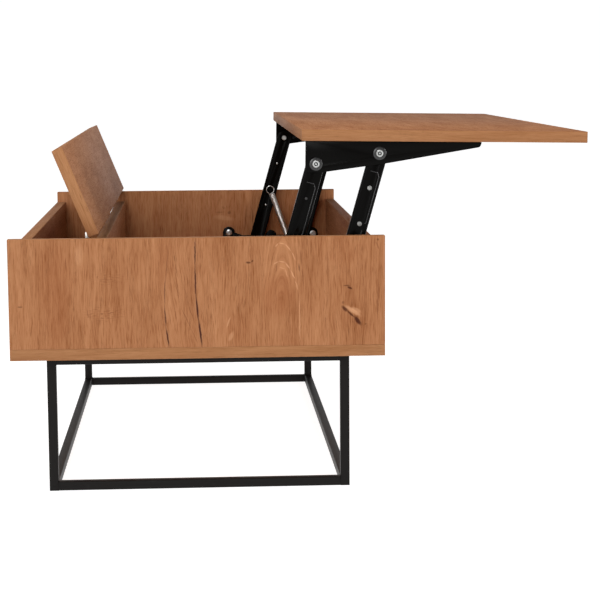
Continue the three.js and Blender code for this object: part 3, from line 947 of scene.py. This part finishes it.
def grown_mesh(name, base_mesh, group, ids, values, place=None):
    """Runs a tree on a base mesh and returns the plain mesh that it makes."""
    carrier = bpy.data.objects.new(name + "_base", base_mesh)
    scene.collection.objects.link(carrier)
    modifier = carrier.modifiers.new("grow", "NODES")
    modifier.node_group = group
    for label, value in values.items():
        modifier[ids[label]] = value
    bpy.context.view_layer.update()
    ready = carrier.evaluated_get(bpy.context.evaluated_depsgraph_get())
    mesh = bpy.data.meshes.new_from_object(ready)
    mesh.name = name
    carrier.modifiers.remove(modifier)
    bpy.data.objects.remove(carrier)
    if place is not None:
        mesh.transform(place)
    return mesh


def bead_tree():
    inputs = [("Bead Radius", "NodeSocketFloat"), ("Material", "NodeSocketMaterial")]
    tree, given, ids = new_geometry_tree("bead_along_joint", inputs)
    path = tree.add("GeometryNodeMeshToCurve", {0: given["Geometry"]})[0]
    ring = tree.add(
        "GeometryNodeCurvePrimitiveCircle", {"Resolution": 8, "Radius": given["Bead Radius"]}
    )[0]
    bead = tree.add("GeometryNodeCurveToMesh", {"Curve": path, "Profile Curve": ring})[0]
    smooth = tree.add("GeometryNodeSetShadeSmooth", {0: bead})[0]
    end_tree(tree, smooth, given["Material"])
    return tree.tree, ids


def joint_loops():
    """Square wire loops where each rail's end meets a leg or a rail."""
    points, edges = [], []
    low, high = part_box("near_left_leg")
    tube = high.x - low.x
    half = tube / 2 - 0.2 * MM
    for node in FRAME_TUBES:
        if not node.endswith("_rail"):
            continue
        low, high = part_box(node)
        size = high - low
        run = max(range(3), key=lambda i: size[i])
        others = [i for i in range(3) if i != run]
        middle = (low + high) / 2
        for end in (low[run], high[run]):
            first = len(points)
            for a, b in ((-1, -1), (1, -1), (1, 1), (-1, 1)):
                corner = middle.copy()
                corner[run] = end
                corner[others[0]] += a * half
                corner[others[1]] += b * half
                corner.z = max(corner.z, WELD_BEAD)
                points.append(corner)
            edges += [(first + i, first + (i + 1) % 4) for i in range(4)]
    return points, edges


def make_welds():
    points, edges = joint_loops()
    wires = bpy.data.meshes.new("weld_lines")
    wires.from_pydata(points, edges, [])
    group, ids = bead_tree()
    values = {"Bead Radius": WELD_BEAD, "Material": frame_black}
    mesh = grown_mesh("weld_beads", wires, group, ids, values)
    return add_piece("weld_beads", mesh, "case")


weld_beads = make_welds()
print("welds have", len(weld_beads.data.polygons), "faces")


# %% [markdown]
# ## Lift arms and brackets
#
# Each mechanism is a base bracket screwed to the case, a top bracket screwed under the
# raised board, and two pressed arms between them. Sheet steel that has been pressed has
# a rounded bend, and that bend draws a thin bright line along the arm. Softened copies
# give that line.

# %% Brackets and arms
ENDS = ("near", "far")
SHEET_EASE = 0.7 * MM


def make_softened(node, material, width=SHEET_EASE, sharper_than=35, smooth=32):
    """A softened copy in place of a design part."""
    shape = merged_copy(node)
    soften(shape, width, sharper_than)
    smooth_below(shape, smooth)
    mesh = finish_mesh(shape, f"{node}_steel", material)
    return add_piece(f"{node}_steel", mesh, body_of(node), [node])


for end in ENDS:
    for part in ("base_bracket", "top_bracket", "rear_arm", "front_arm"):
        make_softened(f"{end}_{part}", arm_black)
print("made brackets and arms for", ENDS)

# %% [markdown]
# ### Finding places on the arms
#
# Pins, rivets and pressings all sit on the arms, and the arms lean. So a place is given
# as a fitter would give it: so far up the arm from its lower pivot, and so far to one
# side. Depths are taken from the inner face of the end panel.

# %% Where the pivots are
def inward(end, depth):
    """The Y place at a depth in from the inner face of an end panel."""
    if end == "near":
        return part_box("near_end_panel")[1].y + depth * MM
    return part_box("far_end_panel")[0].y - depth * MM


def middle_of(node):
    low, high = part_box(node)
    return (low + high) / 2


def arm_points(end, place):
    """The lower and upper pivots of an arm, as X and Z."""
    lower = middle_of(f"{end}_{place}_base_pin")
    upper = middle_of(f"{end}_{place}_top_pin")
    return Vector((lower.x, 0, lower.z)), Vector((upper.x, 0, upper.z))


def on_arm(end, place, up, aside, depth):
    """A point on an arm: up from its lower pivot and aside to +X, in millimetres."""
    lower, upper = arm_points(end, place)
    rise = (upper - lower).normalized()
    side = Vector((rise.z, 0, -rise.x))
    point = lower + rise * up * MM + side * aside * MM
    point.y = inward(end, depth)
    return point


foot, head = arm_points("near", "rear")
print("near rear arm is", round((head - foot).length / MM, 1), "mm long")

# %% [markdown]
# ### Stiffening beads
#
# A bead is pressed along each arm to stop it bending, a few millimetres from its edge,
# with a small jog half way. It is a low ridge that follows a path, so the same tree
# that laid the welds lays it. It has the washers' lighter, glossier black, so that it
# shows as a bright line: partly the lamps' real highlight and partly painted highlight.

# %% Pressed beads on the arms
ARM_FACE = 10.0
BEAD_WIDTH = 0.8 * MM
# Up the arm and aside from its middle line, in millimetres.
UPPER_PRESSING = [(150, 7.0), (150, 9.5), (228, 9.5), (234, 6), (234, -6)]
LOWER_PRESSING = [(30, 6.5), (138, 6.5)]


def make_arm_beads(end, place):
    points, edges = [], []
    for path in (UPPER_PRESSING, LOWER_PRESSING):
        first = len(points)
        points += [on_arm(end, place, up, aside, ARM_FACE) for up, aside in path]
        edges += [(first + i, first + i + 1) for i in range(len(path) - 1)]
    wires = bpy.data.meshes.new("pressing_lines")
    wires.from_pydata(points, edges, [])
    group, ids = bead_tree()
    # The washers' lighter black on the bead is partly painted highlight.
    values = {"Bead Radius": BEAD_WIDTH, "Material": boss_black}
    name = f"{end}_{place}_arm_pressing"
    mesh = grown_mesh(name, wires, group, ids, values)
    return add_piece(name, mesh, f"{end}_{place}_arm")


for end in ENDS:
    for place in ("rear", "front"):
        make_arm_beads(end, place)
print("pressed beads on four arms")


# %% [markdown]
# ## Turned heads, sleeves and bolts
#
# Pins, bolt heads and washers are all round about one axis, so each is a profile turned
# about a line. The profile is drawn as a list of radius and height, from the axis out
# and back to the axis, which closes the shape. A ring's profile ends where it began.

# %% Turning a profile
def turn(profile, sides, start=0.0):
    """A closed bmesh round Z from (radius, height) pairs in millimetres."""
    shape = bmesh.new()
    rings = []
    for radius, height in profile:
        if radius == 0:
            rings.append([shape.verts.new((0, 0, height * MM))])
            continue
        ring = []
        for step in range(sides):
            angle = start + 2 * math.pi * step / sides
            x = radius * MM * math.cos(angle)
            y = radius * MM * math.sin(angle)
            ring.append(shape.verts.new((x, y, height * MM)))
        rings.append(ring)
    for lower, upper in zip(rings, rings[1:]):
        for step in range(sides):
            after = (step + 1) % sides
            if len(lower) == 1:
                shape.faces.new((lower[0], upper[after], upper[step]))
            elif len(upper) == 1:
                shape.faces.new((lower[step], lower[after], upper[0]))
            else:
                shape.faces.new((lower[step], lower[after], upper[after], upper[step]))
    bmesh.ops.recalc_face_normals(shape, faces=shape.faces)
    smooth_below(shape, 32)
    return shape


def face_along(place, direction):
    """The matrix that puts a turned shape's Z along a direction at a place."""
    turn_to = Vector(direction).to_track_quat("Z", "Y").to_matrix().to_4x4()
    return Matrix.Translation(place) @ turn_to


def add_turned(name, profile, place, direction, body, material, replaced=(), sides=32):
    mesh = finish_mesh(turn(profile, sides), name, material)
    mesh.transform(face_along(place, direction))
    return add_piece(name, mesh, body, replaced)


def outward_of(end):
    """The direction out of an end of the table."""
    return Vector((0, -1 if end == "near" else 1, 0))


print("turning helper is ready")

# %% [markdown]
# ### Pins, washers and bolts
#
# Each arm turns on a pin at each end. An upper pin has a bright outer head, a broad
# black washer under that head, and a small inner head in a black collar. A flat black
# ring on the outer head is painted shade, standing for the shade in a recessed socket.
# The ring and the collar are pieces of their own, because one finish ends sharply where
# the other begins. The bolts hold the base bracket and stop the arms.

# %% Pivot pins, washers and bolts
# Profiles are (radius, height) in millimetres. Height 0 is the arm's inner head for a
# pin, and the panel's face for a bolt. They grow towards the viewer of that face.
TOP_PIN = [
    (0, -1.5), (4.0, -1.5), (5.1, -0.7), (5.1, 1.8), (5, 2.0), (5, 11.6), (5.8, 11.7),
    (5.8, 12.1), (5.3, 12.7), (4.4, 12.8), (3.3, 12.7), (1.4, 12.7), (1.2, 12.8), (0, 12.8),
]
BASE_PIN = [
    (0, -1.5), (5.5, -1.5), (7.4, -1.0), (8, -0.2), (8, 1.8), (5, 2.0), (5, 14.2),
    (4.6, 14.5), (0, 14.5),
]
COLLAR = [(5.2, -0.5), (7.5, -0.5), (8, 0), (8, 1.8), (5.2, 1.8), (5.2, -0.5)]
# Painted shade: a flat black ring over the head's face, standing for the shade in its recessed
# socket.
PAINTED_SOCKET_SHADE = [(1.5, 11.9), (3.2, 11.9), (3.2, 12.83), (1.5, 12.83), (1.5, 11.9)]
WASHER = [
    (5.15, 0), (9.6, 0), (10.5, 0.5), (10.5, 1.6), (9.3, 2.3), (7.0, 2.45), (5.15, 2.45),
    (5.15, 0),
]
STOP_BOLT = [
    (0, 0.5), (4, 0.5), (4, 3.2), (5.5, 3.2), (5.5, 18), (4, 18), (4, 20.4), (6.4, 20.4),
    (7, 21.0), (7, 22.6), (6.2, 23.6), (4.6, 24.0), (3.4, 24.0), (3.0, 22.4), (0, 22.4),
]
PLATE_BOLT = [
    (0, 0.5), (3, 0.5), (3, 3.2), (6.5, 3.2), (7, 3.7), (7, 6.2), (6.0, 7.4), (4.2, 8.0),
    (3.2, 8.0), (2.8, 6.4), (0, 6.4),
]
SPRING_PIN = [
    (0, 10.6), (3, 10.6), (3, 31.9), (4.3, 32), (4.6, 32.4), (4.6, 33.6), (4.2, 34), (0, 34),
]


# Where each profile's height 0 lies, in from the end panel, in millimetres.
PIN_SEAT = 15
WASHER_SEAT = 5.9


def make_pins(end):
    outward = outward_of(end)
    for place in ("rear", "front"):
        node = f"{end}_{place}_top_pin"
        spot = middle_of(node)
        spot.y = inward(end, PIN_SEAT)
        add_turned(f"{node}_zinc", TOP_PIN, spot, outward, "lift_top", zinc, [node])
        # The black ring on the head is painted shade of a socket recess.
        add_turned(f"{node}_socket", PAINTED_SOCKET_SHADE, spot, outward, "lift_top", arm_black)
        add_turned(f"{node}_collar", COLLAR, spot, outward, "lift_top", arm_black)
        node = f"{end}_{place}_washer"
        spot = middle_of(node)
        spot.y = inward(end, WASHER_SEAT)
        add_turned(
            f"{node}_boss", WASHER, spot, outward, "lift_top", boss_black, [node]
        )
        node = f"{end}_{place}_base_pin"
        spot = middle_of(node)
        spot.y = inward(end, PIN_SEAT)
        add_turned(f"{node}_zinc", BASE_PIN, spot, outward, "case", zinc, [node])


def make_bolts(end):
    inner = -outward_of(end)
    for part, profile, body, finish in (
        ("stop_bolt", STOP_BOLT, "case", zinc),
        ("plate_bolt", PLATE_BOLT, "case", zinc),
        ("spring_pin", SPRING_PIN, f"{end}_rear_arm", arm_black),
    ):
        node = f"{end}_{part}"
        spot = middle_of(node)
        spot.y = inward(end, 0)
        add_turned(f"{node}_turned", profile, spot, inner, body, finish, [node])


for end in ENDS:
    make_pins(end)
    make_bolts(end)
print("turned the pins, washers and bolts")


# %% [markdown]
# ## Counterbalance springs
#
# An extension spring is a close coil with a round hook at each end. A coil follows a
# rule, so Geometry Nodes make it: a spiral curve for the coil and two arcs for the
# hooks, all swept with the wire's round section. Its sizes are named inputs.
#
# The tree draws the spring upright. The finished mesh is then leaned and moved to the
# line from the base anchor to the pin on the rear arm.

# %% Coil springs
WIRE_RADIUS = 0.9 * MM
COIL_RADIUS = 5.5 * MM
UPPER_HOOK = 8.1 * MM
LOWER_HOOK = 6.9 * MM
COIL_PITCH = 1.86 * MM


def spring_tree():
    inputs = [
        ("Wire Radius", "NodeSocketFloat"),
        ("Coil Radius", "NodeSocketFloat"),
        ("Coil Foot", "NodeSocketFloat"),
        ("Coil Height", "NodeSocketFloat"),
        ("Turns", "NodeSocketFloat"),
        ("Lower Hook", "NodeSocketFloat"),
        ("Upper Hook", "NodeSocketFloat"),
        ("Length", "NodeSocketFloat"),
        ("Material", "NodeSocketMaterial"),
    ]
    tree, given, ids = new_geometry_tree("extension_spring", inputs)
    coil = tree.add(
        "GeometryNodeCurveSpiral",
        {
            "Resolution": 16,
            "Rotations": given["Turns"],
            "Start Radius": given["Coil Radius"],
            "End Radius": given["Coil Radius"],
            "Height": given["Coil Height"],
        },
    )[0]
    foot = tree.add("ShaderNodeCombineXYZ", {2: given["Coil Foot"]})[0]
    coil = tree.add("GeometryNodeTransform", {0: coil, "Translation": foot})[0]
    parts = [coil]
    for radius, height, begin in (
        (given["Lower Hook"], 0.0, math.radians(75)),
        (given["Upper Hook"], given["Length"], math.radians(-105)),
    ):
        hook = tree.add(
            "GeometryNodeCurveArc",
            {
                "Resolution": 28,
                "Radius": radius,
                "Start Angle": begin,
                "Sweep Angle": math.radians(345),
            },
        )[0]
        up = tree.add("ShaderNodeCombineXYZ", {2: height})[0]
        parts.append(
            tree.add(
                "GeometryNodeTransform",
                {0: hook, "Translation": up, "Rotation": (math.pi / 2, 0, 0)},
            )[0]
        )
    join = tree.tree.nodes.new("GeometryNodeJoinGeometry")
    for part in parts:
        tree.tree.links.new(part, join.inputs[0])
    ring = tree.add(
        "GeometryNodeCurvePrimitiveCircle", {"Resolution": 8, "Radius": given["Wire Radius"]}
    )[0]
    wire = tree.add(
        "GeometryNodeCurveToMesh",
        {"Curve": join.outputs[0], "Profile Curve": ring, "Fill Caps": True},
    )[0]
    smooth = tree.add("GeometryNodeSetShadeSmooth", {0: wire})[0]
    end_tree(tree, smooth, given["Material"])
    return tree.tree, ids


def make_spring(end, group, ids):
    """One spring from its base anchor to the pin on the rear arm."""
    anchor = joint_at[f"{end}_spring_swing"].copy()
    pin = middle_of(f"{end}_spring_pin")
    anchor.y = pin.y = middle_of(f"{end}_spring").y
    reach = pin - anchor
    foot = LOWER_HOOK + 0.6 * WIRE_RADIUS
    height = reach.length - UPPER_HOOK - foot - 0.6 * WIRE_RADIUS
    values = {
        "Wire Radius": WIRE_RADIUS,
        "Coil Radius": COIL_RADIUS,
        "Coil Foot": foot,
        "Coil Height": height,
        "Turns": height / COIL_PITCH,
        "Lower Hook": LOWER_HOOK,
        "Upper Hook": UPPER_HOOK,
        "Length": reach.length,
        "Material": spring_steel,
    }
    lean = Matrix.Rotation(math.atan2(reach.x, reach.z), 4, "Y")
    place = Matrix.Translation(anchor) @ lean
    name = f"{end}_spring_coil"
    mesh = grown_mesh(name, bpy.data.meshes.new("empty"), group, ids, values, place)
    return add_piece(name, mesh, f"{end}_spring", [f"{end}_spring"])


spring_group, spring_ids = spring_tree()
for end in ENDS:
    spring = make_spring(end, spring_group, spring_ids)
    print(spring.name, "has", len(spring.data.polygons), "faces")


# %% [markdown]
# ## The lid's hinges
#
# Two cup hinges carry the narrow lid. Each has a cup let into the lid, a pair of link
# straps, and an arm with a mounting plate on the divider. They are nickel plated, so
# softened copies with a small bevel are enough to catch the light.

# %% Hinges and bumpers
LID_PAD = [(0, 0), (4.6, 0), (5, 0.35), (4.9, 1.2), (4.2, 2.1), (2.6, 2.6), (0, 2.7)]
TOP_PAD = [(0, 0), (4.6, 0), (5, 0.35), (4.9, 1.1), (4.1, 1.9), (2.4, 2.5), (0, 2.6)]

for end in ENDS:
    for part in ("hinge_cup", "hinge_link", "hinge_arm"):
        make_softened(f"{end}_{part}", nickel, 0.35 * MM)


def face_normal(node, body_axis):
    """The normal of a board's broad face that looks most along an axis."""
    mesh = frame["nodes"][node].data
    largest = max(
        (face for face in mesh.polygons if face.normal.dot(body_axis) > 0.2),
        key=lambda face: face.area,
    )
    return largest.normal.copy()


def make_pads():
    under_top = face_normal("lift_top_panel", -Z_AXIS)
    under_lid = face_normal("narrow_lid", -X_AXIS)
    for end in ENDS:
        for part, board_normal, profile, body in (
            ("lid_pad", under_lid, LID_PAD, "narrow_lid"),
            ("top_pad", under_top, TOP_PAD, "lift_top"),
        ):
            node = f"{end}_{part}"
            spot = middle_of(node) - board_normal * 1.3 * MM
            add_turned(
                f"{node}_bumper", profile, spot, board_normal, body, bumper_clear,
                [node], 24,
            )


make_pads()
print("made the hinges and four bumpers")


# %% [markdown]
# ## Screws and rivets
#
# Screws and rivets repeat, so one tree places them all: it puts a copy of a head on
# every point that it is given and turns it to the point's own direction. Each body gets
# a mesh of its own, so that its screws move with it.

# %% Heads to copy
PAN_HEAD = [
    (0, -0.4), (4.0, -0.4), (4.1, 0.2), (3.9, 1.2), (3.1, 1.9), (1.9, 2.15), (1.5, 1.2), (0, 1.0)
]
RIVET_HEAD = [(0, -0.3), (3.8, -0.3), (3.85, 0.1), (3.2, 0.8), (1.8, 1.15), (0, 1.2)]
SMALL_RIVET = [(0, -0.3), (2.2, -0.3), (2.2, 0.1), (1.6, 0.6), (0, 0.75)]


def scatter_tree():
    inputs = [("Head", "NodeSocketObject"), ("Material", "NodeSocketMaterial")]
    tree, given, ids = new_geometry_tree("heads_on_points", inputs)
    head = tree.add("GeometryNodeObjectInfo", {"Object": given["Head"]})["Geometry"]
    aim = tree.add(
        "GeometryNodeInputNamedAttribute", {"Name": "aim"}, data_type="FLOAT_VECTOR"
    )[0]
    turned_to = tree.add("FunctionNodeAlignRotationToVector", {"Vector": aim}, axis="Z")[0]
    copies = tree.add(
        "GeometryNodeInstanceOnPoints",
        {"Points": given["Geometry"], "Instance": head, "Rotation": turned_to},
    )[0]
    end_tree(tree, copies, given["Material"])
    return tree.tree, ids


def place_heads(name, spots, profile, sides, body, material):
    """Copies of a head at (place, direction) pairs, as one piece on a body."""
    head_mesh = finish_mesh(turn(profile, sides), name + "_head")
    head = bpy.data.objects.new(name + "_head", head_mesh)
    scene.collection.objects.link(head)
    points = bpy.data.meshes.new(name + "_points")
    points.from_pydata([place for place, _ in spots], [], [])
    aims = points.attributes.new("aim", "FLOAT_VECTOR", "POINT")
    aims.data.foreach_set("vector", np.array([list(d) for _, d in spots], np.float32).ravel())
    values = {"Head": head, "Material": material}
    mesh = grown_mesh(name, points, scatter_group, scatter_ids, values)
    bpy.data.objects.remove(head)
    return add_piece(name, mesh, body)


scatter_group, scatter_ids = scatter_tree()
print("screw and rivet tree is ready")

# %% [markdown]
# ### Rivets
#
# Each arm has two rivets on its middle line, and the front arms' are the larger. Heads
# are set on both faces of an arm. The rear arms' outer heads are black and the inner
# ones bare, and the lower inner one sits a little higher than the outer one.

# %% Rivets on the arms
# Places up the arm from its lower pivot, in millimetres.
FRONT_RIVETS = (147, 207)
REAR_RIVETS = (110, 208)
REAR_INNER_RIVETS = (115, 208)
ARM_FLOOR = ARM_FACE + 2.5


def rivet_spots(end, place, ups, depth, direction):
    return [(on_arm(end, place, up, 0, depth), direction) for up in ups]


for end in ENDS:
    outward = outward_of(end)
    on_front = rivet_spots(end, "front", FRONT_RIVETS, ARM_FACE, outward)
    on_rear = rivet_spots(end, "rear", REAR_RIVETS, ARM_FACE, outward)
    inside_rear = rivet_spots(end, "rear", REAR_INNER_RIVETS, ARM_FLOOR, -outward)
    inside_front = rivet_spots(end, "front", FRONT_RIVETS, ARM_FLOOR, -outward)
    place_heads(
        f"{end}_front_arm_rivets", on_front + inside_front, RIVET_HEAD, 16, f"{end}_front_arm",
        dull_zinc,
    )
    place_heads(
        f"{end}_rear_arm_rivets", on_rear, SMALL_RIVET, 14, f"{end}_rear_arm",
        boss_black,
    )
    place_heads(
        f"{end}_rear_arm_inner_rivets", inside_rear, SMALL_RIVET, 14, f"{end}_rear_arm",
        zinc,
    )
print("riveted four arms")

# %% [markdown]
# ### Screws
#
# Pan head screws hold the base brackets to the base board, the frame's rails under it,
# and the top brackets under the lift top. They run in evenly spaced rows that are
# worked out from the parts they hold, so that they stay on them.

# %% Screws
def along_row(start, stop, count):
    """Evenly spaced places from start to stop."""
    return [start + (stop - start) * step / (count - 1) for step in range(count)]


def bracket_foot_spots():
    """Screws through each base bracket's foot into the base board."""
    spots = []
    for end in ENDS:
        low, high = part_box(f"{end}_base_bracket")
        top_of_foot = low.z + 3 * MM
        for x in along_row(low.x + 14 * MM, high.x - 40 * MM, 4):
            spots.append((Vector((x, inward(end, 30), top_of_foot)), Z_AXIS))
    return spots


def rail_spots():
    """Screws up through the frame's top rails into the base board."""
    spots = []
    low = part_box("near_top_rail")[0]
    for node in ("left_top_rail", "right_top_rail"):
        middle = middle_of(node)
        for y in along_row(-0.40, 0.40, 3):
            spots.append((Vector((middle.x, y, low.z)), -Z_AXIS))
    return spots


def flange_spots():
    """Screws up through each top bracket's flange into the raised board."""
    down = face_normal("lift_top_panel", -Z_AXIS)
    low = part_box("lift_top_panel")[0]
    corner = Vector((low.x, 0, low.z + 7.5 * MM))
    slope = Vector((down.z, 0, -down.x)) * -1
    spots = []
    for end in ENDS:
        box_low, box_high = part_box(f"{end}_top_bracket")
        for x in along_row(box_low.x + 18 * MM, box_high.x - 30 * MM, 4):
            run = (x - low.x) / slope.x
            place = corner + slope * run + down * 2.8 * MM
            place.y = inward(end, 21)
            spots.append((place, down))
    return spots


print("frame screws:", len(rail_spots()), " foot screws:", len(bracket_foot_spots()))
screw_jobs = [
    ("case_screws", bracket_foot_spots() + rail_spots(), "case"),
    ("lift_top_screws", flange_spots(), "lift_top"),
]
for name, spots, body in screw_jobs:
    place_heads(name, spots, PAN_HEAD, 16, body, zinc)
